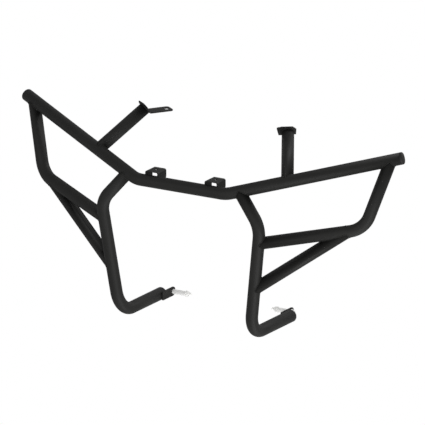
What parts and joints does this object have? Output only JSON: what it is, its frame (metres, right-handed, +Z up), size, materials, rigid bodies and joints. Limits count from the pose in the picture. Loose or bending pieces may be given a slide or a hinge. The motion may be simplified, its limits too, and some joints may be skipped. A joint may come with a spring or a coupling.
{
  "type": "atv front bull bar",
  "caption": "Front bull bar for a quad bike: a swept upper rail of bent black tube with legs, wing hoops, braces, rear struts, lamp brackets and bolted feet.",
  "frame": {"origin": "midway between the bolt holes of the two strut brackets, level with the underside of their tabs", "axes": "+X across the bar to the right as seen from the front, +Y towards the rear of the vehicle, +Z up"},
  "size_m": [1.133, 0.2813, 0.5381],
  "materials": {
    "black_coat": "satin black powder coat on steel tube and sheet",
    "cap_plastic": "fine-grained black plastic",
    "zinc_plate": "bright zinc plate"
  },
  "bodies": {
    "root": {"upper_rail": "black_coat", "right_leg": "black_coat", "right_wing_hoop": "black_coat", "right_brace": "black_coat", "right_strut": "black_coat", "right_strut_bracket": "black_coat", "right_lamp_bracket": "black_coat", "right_foot_lug": "black_coat", "left_leg": "black_coat", "left_wing_hoop": "black_coat", "left_brace": "black_coat", "left_strut": "black_coat", "left_strut_bracket": "black_coat", "left_lamp_bracket": "black_coat", "left_foot_lug": "black_coat", "right_end_cap": "cap_plastic", "right_foot_cap": "cap_plastic", "left_end_cap": "cap_plastic", "left_foot_cap": "cap_plastic", "right_foot_bolt": "zinc_plate", "right_spacer_sleeve": "zinc_plate", "right_lock_nut": "zinc_plate", "left_foot_bolt": "zinc_plate", "left_spacer_sleeve": "zinc_plate", "left_lock_nut": "zinc_plate"}
  },
  "joints": []
}
